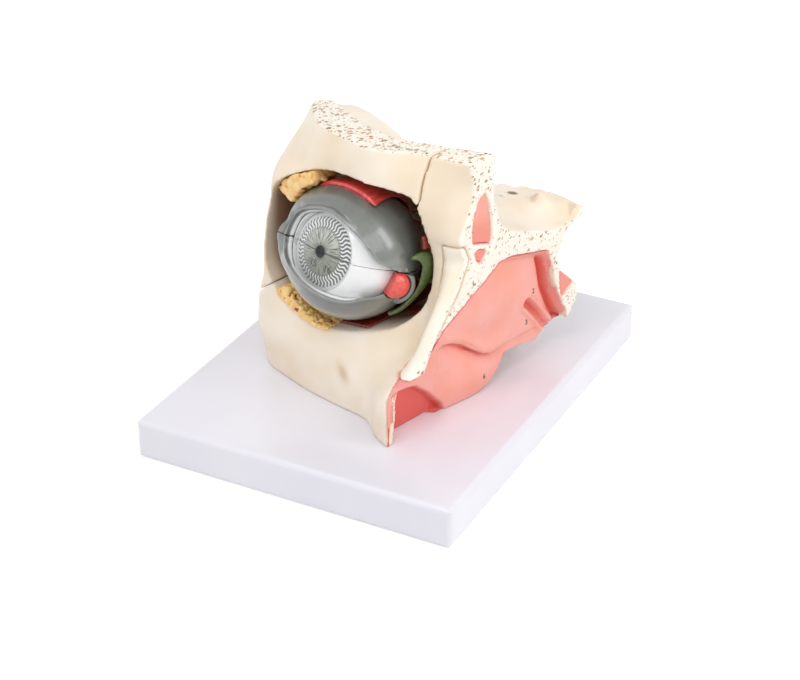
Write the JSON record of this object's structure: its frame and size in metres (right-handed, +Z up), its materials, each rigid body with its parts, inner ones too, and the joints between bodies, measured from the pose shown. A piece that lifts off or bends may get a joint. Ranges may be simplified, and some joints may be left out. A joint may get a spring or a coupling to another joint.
{
  "type": "eye anatomy model",
  "caption": "Enlarged teaching model of an eye in its bony orbit on a white board, with a lift-off roof of the orbit and an eyeball that pulls out and opens.",
  "frame": {"origin": "middle of the underside of the board", "axes": "+Z up, +X right, +Y to the back along the board's long side; the face of the model looks to -Y"},
  "size_m": [0.2, 0.26, 0.177],
  "materials": {
    "board_white": "smooth white lacquer",
    "bone": "painted ivory plastic, satin",
    "nasal_bone": "painted ivory plastic, satin",
    "mucosa": "salmon pink paint, satin",
    "lid_grey": "grey paint, satin",
    "sclera_white": "white gloss",
    "choroid_brown": "dark brown paint",
    "iris": "grey-green print",
    "clear_cornea": "clear polished",
    "clear_inner": "clear moulded",
    "caruncle_red": "red paint, gloss",
    "muscle_red": "red paint, satin",
    "fat_yellow": "golden yellow paint",
    "gland_orange": "orange yellow paint",
    "sac_green": "dark green paint",
    "nerve_yellow": "yellow paint",
    "steel": "plain"
  },
  "bodies": {
    "stand": {"base_board": "board_white", "mounting_screws": "steel", "orbit_block": "bone", "nasal_bone": "nasal_bone", "nasal_wall": "mucosa", "frontal_sinus_lining": "mucosa", "sphenoid_sinus_lining": "mucosa", "lacrimal_sac": "sac_green", "orbital_fat": "fat_yellow", "medial_rectus": "muscle_red", "lateral_rectus": "muscle_red", "inferior_rectus": "muscle_red", "inferior_oblique": "muscle_red", "nerve_bush": "bone", "roof_dowels": "steel"},
    "roof": {"orbit_roof": "bone", "lacrimal_gland": "gland_orange"},
    "eye_lower": {"sclera_lower": "sclera_white", "choroid_lower": "choroid_brown", "iris_lower": "iris", "cornea_lower": "clear_cornea", "eyelid_lower": "lid_grey", "caruncle": "caruncle_red", "optic_nerve": "nerve_yellow", "half_pins": "steel"},
    "eye_upper": {"sclera_upper": "sclera_white", "choroid_upper": "choroid_brown", "iris_upper": "iris", "cornea_upper": "clear_cornea", "eyelid_upper": "lid_grey", "superior_rectus": "muscle_red", "levator": "muscle_red"},
    "vitreous": {"vitreous_body": "clear_inner"},
    "lens_body": {"lens": "clear_inner"}
  },
  "joints": [
    {"name": "roof_lift", "type": "slide", "parent": "stand", "child": "roof", "axis": [0, 0, 1], "range_m": [0, 0.15]},
    {"name": "eye_pull", "type": "slide", "parent": "stand", "child": "eye_lower", "axis": [-0.2756, -0.9613, 0], "range_m": [0, 0.13]},
    {"name": "upper_half_lift", "type": "slide", "parent": "eye_lower", "child": "eye_upper", "axis": [0.0943, 0.3288, 0.9397], "range_m": [0, 0.094]},
    {"name": "vitreous_lift", "type": "slide", "parent": "eye_lower", "child": "vitreous", "axis": [0.0943, 0.3288, 0.9397], "range_m": [0, 0.053]},
    {"name": "lens_lift", "type": "slide", "parent": "eye_lower", "child": "lens_body", "axis": [0.0943, 0.3288, 0.9397], "range_m": [0, 0.053]}
  ],
  "couplings": [
    {"joint": "upper_half_lift", "follows": "roof_lift", "ratio": 0.62},
    {"joint": "vitreous_lift", "follows": "roof_lift", "ratio": 0.35},
    {"joint": "lens_lift", "follows": "roof_lift", "ratio": 0.35}
  ]
}
